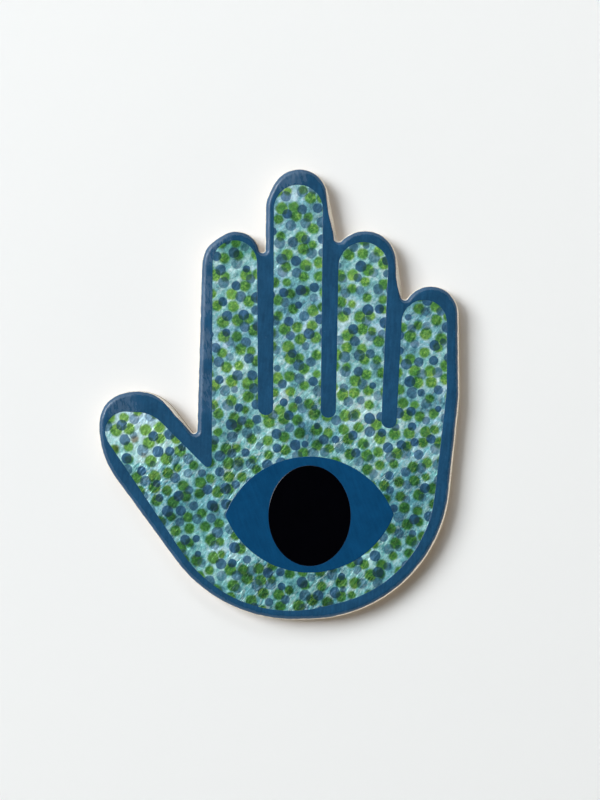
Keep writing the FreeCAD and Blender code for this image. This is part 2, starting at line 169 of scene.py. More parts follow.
class Workpiece:
    """A mesh on the bench, with the steps that several pieces share."""

    def __init__(self) -> None:
        """Start with an empty mesh."""
        self.mesh = bmesh.new()

    @classmethod
    def copy_of(cls, node: str) -> "Workpiece":
        """Copy a CAD node's mesh and join its loose triangles.

        Args:
            node: Name of the CAD node.

        Returns:
            The copy.
        """
        piece = cls()
        piece.mesh.from_mesh(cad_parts[node].data)
        bmesh.ops.remove_doubles(piece.mesh, verts=piece.mesh.verts, dist=WELD)
        return piece

    @classmethod
    def plates_of(cls, node: str) -> "Workpiece":
        """Copy a CAD node's mesh with each flat face in one piece.

        Args:
            node: Name of the CAD node.

        Returns:
            The copy.
        """
        piece = cls.copy_of(node)
        mesh = piece.mesh
        bmesh.ops.dissolve_limit(mesh, angle_limit=FLAT, verts=mesh.verts, edges=mesh.edges)
        return piece

    @classmethod
    def outline_of(cls, node: str, level: float, longest: float) -> "Workpiece":
        """Keep only the outermost edge of a CAD node in one level plane.

        Args:
            node: Name of the CAD node.
            level: Y of the plane.
            longest: Longest edge that may stay, in metres. Longer ones are divided.

        Returns:
            A workpiece that holds one closed wire.
        """
        piece = cls.copy_of(node)
        rim = {edge for edge in piece.mesh.edges if is_rim(edge, level)}
        top = max((vert for edge in rim for vert in edge.verts), key=lambda vert: vert.co.z)
        kept = set(piece.ring(walk(top, rim)))
        others = [edge for edge in piece.mesh.edges if edge not in kept]
        bmesh.ops.delete(piece.mesh, geom=others, context="EDGES")
        for edge in list(piece.mesh.edges):
            cuts = math.ceil(edge.calc_length() / longest) - 1
            if cuts > 0:
                bmesh.ops.subdivide_edges(piece.mesh, edges=[edge], cuts=cuts)
        return piece

    def ring(self, loop: list[Vert]) -> list[Edge]:
        """Edges of a closed loop of vertices."""
        return [self.mesh.edges.get((loop[i - 1], loop[i])) for i in range(len(loop))]

    def rim(self) -> list[Edge]:
        """Edges with a face on one side only."""
        return [edge for edge in self.mesh.edges if edge.is_boundary]

    def join(self, other: "Workpiece") -> None:
        """Add another workpiece's mesh to this one.

        Args:
            other: The other workpiece, which is used up.
        """
        spare = bpy.data.meshes.new("spare")
        other.mesh.to_mesh(spare)
        other.mesh.free()
        self.mesh.from_mesh(spare)
        bpy.data.meshes.remove(spare)

    def cut_grid(self, step: float, axes: Iterable[int] = (0, 2)) -> None:
        """Cut every face along evenly spaced planes, so that relief can bend it.

        Args:
            step: Distance between planes, in metres.
            axes: Axes that the planes stand square to.
        """
        for axis in axes:
            low = min(vert.co[axis] for vert in self.mesh.verts)
            high = max(vert.co[axis] for vert in self.mesh.verts)
            normal = Vector([float(axis == index) for index in range(3)])
            for line in range(1, math.ceil((high - low) / step)):
                geometry = [*self.mesh.verts, *self.mesh.edges, *self.mesh.faces]
                bmesh.ops.bisect_plane(self.mesh, geom=geometry, dist=WELD,
                                       plane_co=normal * (low + line * step), plane_no=normal)

    def refine(self, longest: float) -> None:
        """Divide a flat sheet's edges until none is longer than a limit.

        Args:
            longest: The limit, in metres.
        """
        while long := [edge for edge in self.mesh.edges if edge.calc_length() > longest]:
            bmesh.ops.subdivide_edges(self.mesh, edges=long, cuts=1)
            wide = [face for face in self.mesh.faces if len(face.verts) > 3]
            bmesh.ops.triangulate(self.mesh, faces=wide)
            inner = [edge for edge in self.mesh.edges if not edge.is_boundary]
            bmesh.ops.beautify_fill(self.mesh, faces=self.mesh.faces, edges=inner)

    def fill(self, edges: list[Edge]) -> None:
        """Span a flat region between closed loops of edges."""
        bmesh.ops.triangle_fill(self.mesh, use_beauty=True, use_dissolve=False, edges=edges)

    def face_front(self) -> None:
        """Turn an open sheet's faces to the front."""
        bmesh.ops.recalc_face_normals(self.mesh, faces=self.mesh.faces)
        self.mesh.normal_update()
        if sum(face.normal.y * face.calc_area() for face in self.mesh.faces) > 0:
            bmesh.ops.reverse_faces(self.mesh, faces=self.mesh.faces)

    def sink(self, relief: Relief, within: Callable[[Vert], float]) -> None:
        """Press vertices in along their normals.

        Args:
            relief: Depth at a point.
            within: Share of that depth which a vertex takes.
        """
        self.mesh.normal_update()
        moves = [(vert, vert.normal * (relief(vert.co) * within(vert))) for vert in self.mesh.verts]
        for vert, move in moves:
            vert.co -= move

    def soften(self, offset: float, segments: int, wanted: Callable[[Edge], bool]) -> None:
        """Round the wanted edges.

        Args:
            offset: Width of the round, in metres.
            segments: Faces across it.
            wanted: Test of an edge.
        """
        edges = [edge for edge in self.mesh.edges if wanted(edge)]
        bmesh.ops.bevel(self.mesh, geom=edges, offset=offset, segments=segments, profile=0.5,
                        affect="EDGES", material=-1, clamp_overlap=True)

    def finish(self, name: str, slot: Slot, node: str, finish: "Finish", sharp: float = 40.0) -> Piece:
        """Turn the workpiece into a piece of the model.

        Args:
            name: Name of the piece.
            slot: Material slot of the record. Not used.
            node: CAD node that the piece stands for.
            finish: Finish of the piece.
            sharp: Angle between faces, in degrees, past which an edge stays crisp.

        Returns:
            The piece.
        """
        if not self.rim():
            bmesh.ops.recalc_face_normals(self.mesh, faces=self.mesh.faces)
        mesh = bpy.data.meshes.new(name)
        self.mesh.to_mesh(mesh)
        self.mesh.free()
        for layer in [item.name for item in mesh.attributes if item.name == "custom_normal"]:
            mesh.attributes.remove(mesh.attributes[layer])
        mesh.materials.clear()
        mesh.materials.append(finish.material())
        for setting, value in (("material_index", 0), ("use_smooth", True)):
            mesh.polygons.foreach_set(setting, [value] * len(mesh.polygons))
        mesh.set_sharp_from_angle(angle=math.radians(sharp))
        piece = place_in_scene(name, mesh)
        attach(piece, BODY)
        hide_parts(node)
        return piece


def place_in_scene(name: str, data: bpy.types.ID) -> Piece:
    """Make an object of a mesh, lamp or camera, and put it in the scene.

    Args:
        name: Name of the object.
        data: What it shows.

    Returns:
        The object.
    """
    made = bpy.data.objects.new(name, data)
    bpy.context.scene.collection.objects.link(made)
    return made


class Rail:
    """A closed outline with its inward directions, from which strips are grown ring by ring."""

    def __init__(self, piece: Workpiece, edges: Iterable[Edge]) -> None:
        """Take up a closed wire.

        Args:
            piece: Workpiece that holds the wire.
            edges: Edges of the wire.
        """
        self.piece = piece
        wire = set(edges)
        self.verts = walk(next(iter(wire)).verts[0], wire)
        if self.area() < 0:
            self.verts.reverse()
        self.start = [vert.co.copy() for vert in self.verts]
        count = len(self.start)
        self.inward = [self.side(self.start[i - 1], self.start[(i + 1) % count]) for i in range(count)]

    def area(self) -> float:
        """Area inside the loop, positive when it runs counter-clockwise seen from the front."""
        pairs = zip(self.verts, self.verts[1:] + self.verts[:1])
        return sum(a.co.x * b.co.z - b.co.x * a.co.z for a, b in pairs) / 2

    @staticmethod
    def side(before: Vector, after: Vector) -> Vector:
        """Direction square to the way from one point to another, to its left."""
        along = (after - before).normalized()
        return Vector((-along.z, 0.0, along.x))

    def edges(self) -> list[Edge]:
        """Edges of the present ring."""
        return self.piece.ring(self.verts)

    def place(self, profile: Profile) -> None:
        """Put the present ring in place.

        Args:
            profile: Each point's inset from the outline, and its level.
        """
        for vert, start, inward, (inset, level) in zip(self.verts, self.start, self.inward, profile):
            spot = start + inward * inset
            vert.co = (spot.x, level, spot.z)

    def grow(self, profile: Profile) -> None:
        """Add a ring and put it in place.

        Args:
            profile: Each point's inset from the outline, and its level.
        """
        grown = bmesh.ops.extrude_edge_only(self.piece.mesh, edges=self.edges())["geom"]
        fresh = {item for item in grown if isinstance(item, Vert)}
        self.verts = [self.partner(vert, fresh) for vert in self.verts]
        self.place(profile)

    def bead(self, shift: list[float], width: float, levels: tuple[float, float], rings: range) -> None:
        """Grow a rounded strip, a quarter of an ellipse across.

        Args:
            shift: Each point's inset where the strip starts.
            width: Width of the strip, negative when it runs outwards.
            levels: Levels at its start and at its end.
            rings: Rings to grow. The last one is a whole quarter round.
        """
        low, high = levels
        for ring in rings:
            angle = QUARTER * ring / rings[-1]
            inset = width * (1 - math.cos(angle))
            level = low + (high - low) * math.sin(angle)
            self.grow([(start + inset, level) for start in shift])

    @staticmethod
    def partner(vert: Vert, fresh: set[Vert]) -> Vert:
        """Vertex of the new ring that grew from one of the old ring."""
        return next(other for edge in vert.link_edges if (other := edge.other_vert(vert)) in fresh)


@dataclass(frozen=True)
class Value:
    """A number, vector, colour or shader in a node tree. Numbers can be reckoned with."""

    graph: "Graph"
    socket: bpy.types.NodeSocket

    def reckon(self, operation: str, other: Any = 0.0) -> "Value":
        """Result of an operation on this number and another."""
        return self.graph.take("ShaderNodeMath", {0: self, 1: other}, operation=operation)

    def __add__(self, other: Any) -> "Value":
        """Sum."""
        return self.reckon("ADD", other)

    def __sub__(self, other: Any) -> "Value":
        """Difference."""
        return self.reckon("SUBTRACT", other)

    def __mul__(self, other: Any) -> "Value":
        """Product."""
        return self.reckon("MULTIPLY", other)

    def __truediv__(self, other: Any) -> "Value":
        """Quotient."""
        return self.reckon("DIVIDE", other)

    def __rtruediv__(self, other: float) -> "Value":
        """Quotient of a plain number and this one."""
        return self.graph.take("ShaderNodeMath", {0: other, 1: self}, operation="DIVIDE")

    def most(self, other: Any) -> "Value":
        """The larger of this number and another."""
        return self.reckon("MAXIMUM", other)

    def line(self, low: Any, high: Any, start: Any = 0.0, end: Any = 1.0, kind: str = "LINEAR") -> "Value":
        """Straight change from start to end while this number goes from low to high, clamped."""
        inputs = {0: self, 1: low, 2: high, 3: start, 4: end}
        return self.graph.take("ShaderNodeMapRange", inputs, interpolation_type=kind)

    def ramp(self, low: Any, high: Any, start: Any = 0.0, end: Any = 1.0) -> "Value":
        """Smooth step from start to end while this number goes from low to high."""
        return self.line(low, high, start, end, "SMOOTHSTEP")

    def part(self, axis: str) -> "Value":
        """One part of a vector."""
        return self.graph.outputs("ShaderNodeSeparateXYZ", {0: self})[axis]

    def scale(self, factor: Any) -> "Value":
        """A vector or colour times a number."""
        return self.graph.take("ShaderNodeVectorMath", {0: self, "Scale": factor}, operation="SCALE")

    def turn(self, degrees: Triple = (0, 0, 0), scale: float = 1.0, shift: Triple = (0, 0, 0)) -> "Value":
        """A vector that is scaled, turned and shifted."""
        inputs = {"Vector": self, "Location": shift, "Rotation": [math.radians(angle) for angle in degrees]}
        return self.graph.take("ShaderNodeMapping", inputs | {"Scale": (scale, scale, scale)})

    def stretch(self, lean: float, factor: float) -> "Value":
        """A vector whose patterns are drawn out along a line that leans to the right, in degrees."""
        inputs = {"Vector": self, "Rotation": (0, math.radians(lean), 0), "Scale": (1, 1, factor)}
        return self.graph.take("ShaderNodeMapping", inputs, vector_type="TEXTURE")

    def cloud(self, size: Any, detail: float = 2.0, roughness: float = 0.5, bend: float = 0.0) -> "Value":
        """Soft noise from 0 to 1.

        Args:
            size: Size of its patches, in this vector's unit.
            detail: Number of finer layers.
            roughness: How strong the finer layers are.
            bend: How much the patches are bent.

        Returns:
            The noise at this vector.
        """
        inputs = {"Vector": self, "Scale": 1.0 / size, "Detail": detail, "Roughness": roughness}
        return self.graph.take("ShaderNodeTexNoise", inputs | {"Distortion": bend})

    def cells(self, size: Any, loose: Any = 1.0, dimensions: str = "3D") -> tuple["Value", "Value", "Value"]:
        """Cells round scattered points.

        Args:
            size: Distance between points, in this vector's unit.
            loose: How far the points stray from a grid, from 0 to 1.
            dimensions: Dimensions of the pattern, 2D or 3D.

        Returns:
            The distance to the nearest point as a share of the size, and two random numbers of the cell.
        """
        inputs = {"Vector": self, "Scale": 1.0 / size, "Randomness": loose}
        cells = self.graph.outputs("ShaderNodeTexVoronoi", inputs, voronoi_dimensions=dimensions)
        chance = self.graph.outputs("ShaderNodeSeparateColor", {0: cells["Color"]})
        return cells["Distance"], chance["Red"], chance["Green"]

    def effect(self, kind: Effect, **inputs: Any) -> dict[str, "Value"]:
        """Lay a shared effect on this vector.

        Args:
            kind: The effect.
            inputs: Its other inputs, named in lower case.

        Returns:
            Its outputs by name.
        """
        named = {name.capitalize(): opaque(value) if name == "colour" else value
                 for name, value in inputs.items()}
        return self.graph.outputs("ShaderNodeGroup", {"Vector": self} | named, node_tree=effect_group(kind))

    def mask(self, kind: Effect, **inputs: Any) -> "Value":
        """Mask of a shared effect on this vector."""
        return self.effect(kind, **inputs)["Mask"]

    def mottle(self, colour: Any, size: float, amount: float) -> "Value":
        """A colour, mottled over this vector."""
        return self.effect(Effect.MOTTLE, colour=colour, size=size, amount=amount)["Colour"]

    def bump(self, depth: float, **below: "Value") -> "Value":
        """Normal of a relief whose heights from 0 to 1 stand for a depth in millimetres."""
        return self.graph.take("ShaderNodeBump", {"Height": self, "Distance": depth * MM} | below)


class Graph:
    """Adds and links the nodes of one material, world or node group."""

    def __init__(self, tree: bpy.types.NodeTree) -> None:
        """Work in a node tree, from which its first nodes are cleared."""
        self.tree = tree
        tree.nodes.clear()

    def add(self, kind: str, inputs: dict[Any, Any] | None = None, **settings: Any) -> bpy.types.Node:
        """Add a node.

        Args:
            kind: Type of the node.
            inputs: Values for its inputs, by name or number.
            settings: The node's own settings.

        Returns:
            The node.
        """
        node = self.tree.nodes.new(kind)
        for name, value in settings.items():
            setattr(node, name, value)
        for key, value in (inputs or {}).items():
            if isinstance(value, Value):
                self.tree.links.new(value.socket, node.inputs[key])
            else:
                node.inputs[key].default_value = value
        return node

    def take(self, kind: str, inputs: dict[Any, Any] | None = None, output: Any = 0,
             **settings: Any) -> Value:
        """One output of a new node."""
        return Value(self, self.add(kind, inputs, **settings).outputs[output])

    def outputs(self, kind: str, inputs: dict[Any, Any] | None = None, **settings: Any) -> dict[str, Value]:
        """Every output of a new node, by name."""
        return {output.name: Value(self, output) for output in self.add(kind, inputs, **settings).outputs}

    def vectors(self, operation: str, first: Any, second: Any, output: Any = 0) -> Value:
        """Result of an operation on two vectors."""
        return self.take("ShaderNodeVectorMath", {0: first, 1: second}, output, operation=operation)

    def mix(self, factor: Any, first: Any, second: Any, blend: str = "MIX") -> Value:
        """Blend of two colours."""
        inputs = {0: factor, 6: opaque(first), 7: opaque(second)}
        return self.take("ShaderNodeMix", inputs, 2, data_type="RGBA", blend_type=blend)

    def millimetres(self) -> Value:
        """The piece's own coordinates in millimetres."""
        return self.take("ShaderNodeTexCoord", output="Object").turn(scale=1 / MM)


def opaque(colour: Any) -> Any:
    """A colour with its alpha, or the value that it is."""
    return colour if isinstance(colour, Value) else (*colour, 1.0)


def build_mottle(vector: Value, colour: Value, size: Value, amount: Value) -> dict[str, Value]:
    """Cloudy light and dark in a colour, in two sizes."""
    blend = vector.cloud(size, 3.0) * 1.3 + vector.cloud(size * 0.15, 3.0) * 0.7
    return {"Colour": colour.scale((blend - 1.0) * amount + 1.0)}


def build_specks(vector: Value, pitch: Value, radius: Value, share: Value) -> dict[str, Value]:
    """Small irregular specks.

    Args:
        vector: Where the surface is.
        pitch: Distance between cells.
        radius: Radius of a middling speck.
        share: Share of the cells that hold one.

    Returns:
        The effect's outputs.
    """
    distance, chance, width = vector.cells(pitch)
    reach = radius * (width + 0.4)
    away = distance * pitch * (vector.cloud(reach * 1.5) * 1.6)
    return {"Mask": away.ramp(reach, reach * 0.6) * chance.reckon("LESS_THAN", share)}


def build_creases(vector: Value, size: Value, width: Value) -> dict[str, Value]:
    """Thin curved lines, strong in places and gone in others.

    Args:
        vector: Where the surface is.
        size: Size of the relief that the lines run in.
        width: Width of a line, as a share of the relief's height.

    Returns:
        The effect's outputs.
    """
    height = vector.cloud(size, 2.0, 0.45, 0.4)
    line = (height - 0.5).reckon("ABSOLUTE").ramp(width, 0.0)
    return {"Mask": line * vector.cloud(size * 1.7, 1.0).ramp(0.38, 0.62), "Height": height}


def build_worn_level(vector: Value, full: Value, gone: Value, size: Value, broken: Value) -> dict[str, Value]:
    """Wear that is full at one level of Y and gone at another, with a broken edge."""
    shaken = vector.part("Y").line(gone, full) + (vector.cloud(size, 4.0, 0.6) - 0.5) * broken
    return {"Mask": shaken.ramp(0.25, 0.75)}


def build_ink_dots(vector: Value, pitch: Value, loose: Value, smallest: Value, largest: Value, soft: Value,
                   wobble: Value) -> dict[str, Value]:
    """Round drops of ink in a loose random layout, of uneven size and slightly uneven outline.

    Args:
        vector: Where the surface is, with its front laid flat.
        pitch: Distance between drops.
        loose: How far the drops stray from a grid, from 0 to 1.
        smallest: Radius of the smallest drop.
        largest: Radius of the largest one.
        soft: Width over which a drop's edge fades.
        wobble: How far an outline strays from round.

    Returns:
        The effect's outputs.
    """
    graph = vector.graph
    shake = graph.take("ShaderNodeTexNoise", {"Vector": vector, "Scale": 0.35, "Detail": 2.0}, "Color")
    centred = graph.vectors("SUBTRACT", shake, (0.5, 0.5, 0.5))
    distance, width, other = graph.vectors("ADD", vector, centred.scale(wobble)).cells(pitch, loose, "2D")
    reach = width.reckon("POWER", 0.6).line(0.0, 1.0, smallest, largest)
    return {"Mask": (distance * pitch).ramp(reach + soft, reach - soft), "Chance": other}


def build_stain(vector: Value, centre: Value, radius: Value) -> dict[str, Value]:
    """A ragged spot round a place."""
    away = vector.graph.vectors("DISTANCE", vector, centre, "Value")
    return {"Mask": (away / (radius * (vector.cloud(radius * 0.5, 3.0) + 0.5))).ramp(1.0, 0.3)}


@dataclass(frozen=True)
class EffectSpec:
    """How a shared effect is made, and the names of its inputs and outputs."""

    build: Callable[..., dict[str, Value]]
    inputs: str
    outputs: str


KINDS = {"Vector": "NodeSocketVector", "Centre": "NodeSocketVector", "Colour": "NodeSocketColor"}
EFFECTS = {
    Effect.MOTTLE: EffectSpec(build_mottle, "Vector Colour Size Amount", "Colour"),
    Effect.SPECKS: EffectSpec(build_specks, "Vector Pitch Radius Share", "Mask"),
    Effect.CREASES: EffectSpec(build_creases, "Vector Size Width", "Mask Height"),
    Effect.WORN_LEVEL: EffectSpec(build_worn_level, "Vector Full Gone Size Broken", "Mask"),
    Effect.INK_DOTS: EffectSpec(build_ink_dots, "Vector Pitch Loose Smallest Largest Soft Wobble",
                                "Mask Chance"),
    Effect.STAIN: EffectSpec(build_stain, "Vector Centre Radius", "Mask"),
}


def effect_group(effect: Effect) -> bpy.types.NodeTree:
    """Node group of a shared effect, built the first time that it is asked for.

    Args:
        effect: The effect.

    Returns:
        Its node group.
    """
    if effect.value in bpy.data.node_groups:
        return bpy.data.node_groups[effect.value]
    spec = EFFECTS[effect]
    tree = bpy.data.node_groups.new(effect.value, "ShaderNodeTree")
    for way, names in (("INPUT", spec.inputs), ("OUTPUT", spec.outputs)):
        for name in names.split():
            kind = KINDS.get(name, "NodeSocketFloat")
            tree.interface.new_socket(name=name, in_out=way, socket_type=kind)
    graph = Graph(tree)
    given = graph.outputs("NodeGroupInput")
    graph.add("NodeGroupOutput", spec.build(*(given[name] for name in spec.inputs.split())))
    return tree


@dataclass(frozen=True)
class Spot:
    """A place on the front with a radius, in millimetres, and how much its effect counts there."""

    across: float
    up: float
    radius: float
    strength: float
    level: float = -9.2

    def mask(self, mm: Value) -> Value:
        """Ragged mask of the spot, as strong as the spot."""
        centre = (self.across, self.level, self.up)
        return mm.mask(Effect.STAIN, centre=centre, radius=self.radius) * self.strength


class Finish:
    """A finish: a name, and a shader whose changing sockets are fed by nodes."""

    name: str

    def material(self) -> bpy.types.Material:
        """Make the finish's material.

        Returns:
            The material.
        """
        material = bpy.data.materials.new(self.name)
        material.use_nodes = True
        graph = Graph(material.node_tree)
        shader = graph.take("ShaderNodeBsdfPrincipled", self.shade(graph.millimetres()))
        graph.add("ShaderNodeOutputMaterial", {"Surface": shader})
        return material

    def shade(self, mm: Value) -> dict[str, Any]:
        """Work out the values for the shader's inputs.

        Args:
            mm: The place, in millimetres.

        Returns:
            Values for the shader's inputs, by name.
        """
        raise NotImplementedError


@dataclass(frozen=True)
class FibreboardFinish(Finish):
    """Bare fibreboard: pressed fibres, a denser skin, a rougher core and a sanded pale front edge."""

    name: str = "bare_fibreboard"
    sanded: Colour = (0.90, 0.85, 0.755)
    raw: Colour = (0.50, 0.40, 0.295)
    core: Colour = (0.33, 0.255, 0.18)
    fibre: Colour = (0.25, 0.185, 0.13)
    sanded_levels: tuple[float, float] = (-5.5, -6.7)
    skin: float = 1.6
    middle: float = 4.5

    def shade(self, mm: Value) -> dict[str, Any]:
        """Layer the board by depth, mottle it, and press fibres and flecks into it.

        Args:
            mm: The place, in millimetres.

        Returns:
            Values for the shader's inputs, by name.
        """
        mix, level = mm.graph.mix, mm.part("Y")
        deep = (level + self.middle).reckon("ABSOLUTE").ramp(self.middle, self.middle - self.skin)
        base = mix(level.ramp(*self.sanded_levels), mix(deep, self.raw, self.core), self.sanded)
        fibres = mm.turn((20, 35, 60)).mask(Effect.CREASES, size=0.8, width=0.06)
        flecks = mm.mask(Effect.SPECKS, pitch=2.3, radius=0.3, share=0.3)
        marked = mix(fibres * 0.35, mm.mottle(base, 9.0, 0.22), self.fibre)
        grain = mm.cloud(0.35, 4.0, 0.65)
        return {
            "Base Color": mix(flecks * 0.5, marked, self.fibre),
            "Roughness": grain.line(0.2, 0.8, 0.72, 0.92),
            "Specular IOR Level": 0.3,
            "Normal": grain.bump(0.08, Normal=fibres.bump(0.05)),
        }


@dataclass(frozen=True)
class EnamelFinish(Finish):
    """Brushed gloss enamel that thins out towards its rim, with dust in it, fine wear on it and lighter spots
    of painted highlight.
    """

    name: str
    colour: Colour
    # Colour of the worn rim, and of the spots of painted highlight.
    thin_paint_and_highlight: Colour
    full_level: float
    gone_level: float
    broken: float = 0.9
    thin_paint_and_highlight_amount: float = 1.0
    level_share: float = 1.0
    mottle: float = 0.25
    mottle_size: float = 11.0
    stroke: float = 3.0
    roughness: tuple[float, float] = (0.15, 0.22)
    rubbed: float = 0.2
    specks: float = 0.05
    speck: Colour = (0.75, 0.72, 0.68)
    # Spots of lighter scuff-like marks: a painted highlight where the light falls on the edge.
    painted_highlight_spots: tuple[Spot, ...] = ()

    def shade(self, mm: Value) -> dict[str, Any]:
        """Brush the coat in mottled strokes, with a paler worn rim, scuffs, dust and lighter spots that are a
        painted highlight.

        Args:
            mm: The place, in millimetres.

        Returns:
            Values for the shader's inputs, by name.
        """
        mix = mm.graph.mix
        cloudy = mm.mottle(self.colour, self.mottle_size, self.mottle)
        body = mm.stretch(self.stroke, 7.0).mottle(cloudy, 1.5, self.mottle)
        rim = mm.mask(Effect.WORN_LEVEL, full=self.full_level, gone=self.gone_level, size=2.4,
                      broken=self.broken)
        wear_and_painted_highlight = rim * self.level_share
        # The spots lighten the coat in scuff-like marks: a painted highlight, added to the real wear of the
        # rim.
        marks = mm.stretch(-8.0, 3.0).cloud(1.5, 4.0, 0.6).ramp(0.4, 0.62, 0.25, 1.0)
        for spot in self.painted_highlight_spots:
            wear_and_painted_highlight = wear_and_painted_highlight.most(spot.mask(mm) * marks)
        edged = mix(wear_and_painted_highlight * self.thin_paint_and_highlight_amount, body, self.thin_paint_and_highlight)
        dust = mm.mask(Effect.SPECKS, pitch=7.0, radius=0.28, share=self.specks)
        brushed = mm.stretch(65.0, 8.0).cloud(0.9, 3.0)
        scuffs = mm.stretch(50.0, 3.0).mask(Effect.CREASES, size=5.0, width=0.012)
        gloss = mm.cloud(5.0, 4.0).line(0.3, 0.7, *self.roughness)
        rough = (scuffs * 0.15).most(rim.most(wear_and_painted_highlight))
        return {
            "Base Color": mix(dust, edged, self.speck),
            "Roughness": gloss + rough * self.rubbed,
            "Normal": dust.bump(0.05, Normal=(mm.cloud(1.7) + brushed * 0.4).bump(0.035)),
        }


@dataclass(frozen=True)
class LeafFinish(Finish):
    """Crinkled silver leaf under a tinted lacquer, with two layers of translucent ink drops."""

    name: str = "inked_leaf"
    deep: Colour = (0.06, 0.225, 0.27)
    middle: Colour = (0.24, 0.58, 0.595)
    palm_shade: Colour = (0.80, 0.96, 0.94)
    pale: Colour = (0.70, 0.95, 0.97)
    # Colour of the painted glint along the streaks.
    bright: Colour = (0.92, 1.0, 1.0)
    steel: Colour = (0.80, 0.86, 1.0)
    green: Colour = (0.135, 0.32, 0.016)
    green_deep: Colour = (0.05, 0.21, 0.004)
    # Colour of the painted glint in the green ink.
    green_glow: Colour = (0.62, 0.78, 0.11)
    slate: Colour = (0.10, 0.21, 0.37)
    slate_body: Colour = (0.038, 0.13, 0.235)
    tarnish: Colour = (0.20, 0.48, 0.42)
    rust: Colour = (0.42, 0.20, 0.08)
    darkest: float = 1.72
    sheet: float = 52.0
    pitch: float = 8.8
    rows: float = 9.0
    palm_creases: tuple[float, float] = (-5.0, -60.0)
    palm_ink: tuple[float, float] = (30.0, 85.0)
    # Listed spots that lighten or darken the leaf: partly its own uneven tone, partly painted light, paler
    # towards the top and the thumb and darker towards the bottom.
    tone_and_painted_light_spots: tuple[Spot, ...] = (
        Spot(-96.0, -58.0, 28.0, 0.72),
        Spot(-49.0, -7.0, 11.0, 0.35),
        Spot(-8.0, 78.0, 13.0, 0.3),
        Spot(48.0, 34.0, 17.0, 0.25),
        Spot(-6.0, -150.0, 44.0, -0.35),
        Spot(-36.0, -66.0, 22.0, -0.3),
        Spot(66.0, -96.0, 30.0, -0.2),
    )
    tarnished: tuple[Spot, ...] = (Spot(-36.0, 51.0, 17.0, 0.85),)
    rusty: tuple[Spot, ...] = (
        Spot(-96.0, -63.0, 3.4, 0.8),
        Spot(-107.0, -68.0, 2.8, 0.7),
        Spot(-91.0, -72.0, 2.4, 0.6),
    )

    def shade(self, mm: Value) -> dict[str, Any]:
        """Lay the ink over the leaf, and the stains over both.

        Args:
            mm: The place, in millimetres.

        Returns:
            Values for the shader's inputs, by name.
        """
        flat = mm.turn((90, 0, 0))
        streaks, relief = self.crinkle(mm)
        colour = self.ink(flat, self.leaf(mm, flat, streaks, relief), streaks)
        for spots, tint in ((self.tarnished, self.tarnish), (self.rusty, self.rust)):
            for spot in spots:
                colour = mm.graph.mix(spot.mask(mm), colour, tint, "MULTIPLY")
        return {
            "Base Color": colour,
            "Metallic": streaks.line(0.0, 1.0, 0.25, 0.6),
            "Roughness": mm.cloud(4.0, 3.0).line(0.3, 0.7, 0.46, 0.3),
            "Normal": mm.cloud(0.55, 3.0, 0.6).bump(0.045, Normal=relief.bump(0.44)),
            "Coat Weight": 0.5,
            "Coat Roughness": 0.14,
        }

    def crinkle(self, mm: Value) -> tuple[Value, Value]:
        """Make short slanting streaks and the relief that they come from.

        Args:
            mm: The place, in millimetres.

        Returns:
            Mask of the streaks and height of the relief.
        """
        broad = mm.stretch(42.0, 2.6).effect(Effect.CREASES, size=2.4, width=0.07)
        fine = mm.stretch(28.0, 2.2).effect(Effect.CREASES, size=1.0, width=0.08)
        palm = mm.part("Z").ramp(*self.palm_creases, 0.35, 1.0)
        strength = palm * mm.cloud(24.0, 1.0).ramp(0.35, 0.6, 0.25, 1.0)
        heights = broad["Height"] + fine["Height"] * 0.5
        relief = heights * strength.line(0.0, 1.0, 0.4, 1.0)
        return broad["Mask"].most(fine["Mask"] * 0.7) * strength, relief

    def leaf(self, mm: Value, flat: Value, streaks: Value, relief: Value) -> Value:
        """Colour the bare leaf: patches, laid sheets with faint seams, grain, and bright streaks that are a
        painted glint of the crinkled foil.

        Args:
            mm: The place, in millimetres.
            flat: The same with the front laid flat.
            streaks: Mask of the bright streaks.
            relief: Height of the crinkles.

        Returns:
            The colour.
        """
        mix = mm.graph.mix
        sheets = {"Vector": flat, "Scale": 1 / self.sheet, "Randomness": 0.7}
        edge = mm.graph.take("ShaderNodeTexVoronoi", sheets, "Distance", voronoi_dimensions="2D",
                             feature="DISTANCE_TO_EDGE")
        tone = flat.cells(self.sheet, 0.7, "2D")[1]
        blotches = mm.stretch(35.0, 1.6).cloud(2.6, 4.0, 0.65)
        height = mm.cloud(17.0, 4.0, 0.6) * 1.5 + blotches * 2.3 + relief * 0.5 + tone * 0.2
        # Lighter and darker spots: partly the leaf's own tone, partly painted light.
        for spot in self.tone_and_painted_light_spots:
            height = height + spot.mask(mm)
        level = height - (edge.ramp(0.012, 0.003, 0.0, 0.15) + self.darkest)
        low = mix(level.line(0.0, 0.5), self.deep, self.middle)
        base = mix(level.line(0.5, 1.0), low, self.pale)
        cast = mm.turn(shift=(40, 0, 0)).cloud(30.0).ramp(0.4, 0.62)
        tinted = mix(cast, base, self.steel, "MULTIPLY")
        # The bright streaks are a painted glint of the crinkled foil.
        return mix(streaks * 0.8, mm.mottle(tinted, 1.4, 0.8), self.bright)

    def ink(self, flat: Value, leaf: Value, streaks: Value) -> Value:
        """Lay the green and the slate ink over the leaf, with a painted glint in the green and, in part,
        painted shade towards the bottom of the palm.

        Args:
            flat: The place in millimetres, with the front laid flat.
            leaf: Colour of the leaf.
            streaks: Mask of its bright streaks.

        Returns:
            The colour.
        """
        mix, turned = flat.graph.mix, (0, 0, self.rows)
        aside = (7.5 * self.pitch, 3.5 * self.pitch, 0.0)
        green = flat.turn(turned, shift=aside).effect(
            Effect.INK_DOTS, pitch=self.pitch, loose=0.5, smallest=2.4, largest=3.7, soft=0.85, wobble=1.3)
        slate = flat.turn(turned).effect(
            Effect.INK_DOTS, pitch=self.pitch, loose=0.5, smallest=1.8, largest=3.35, soft=0.3, wobble=0.6)
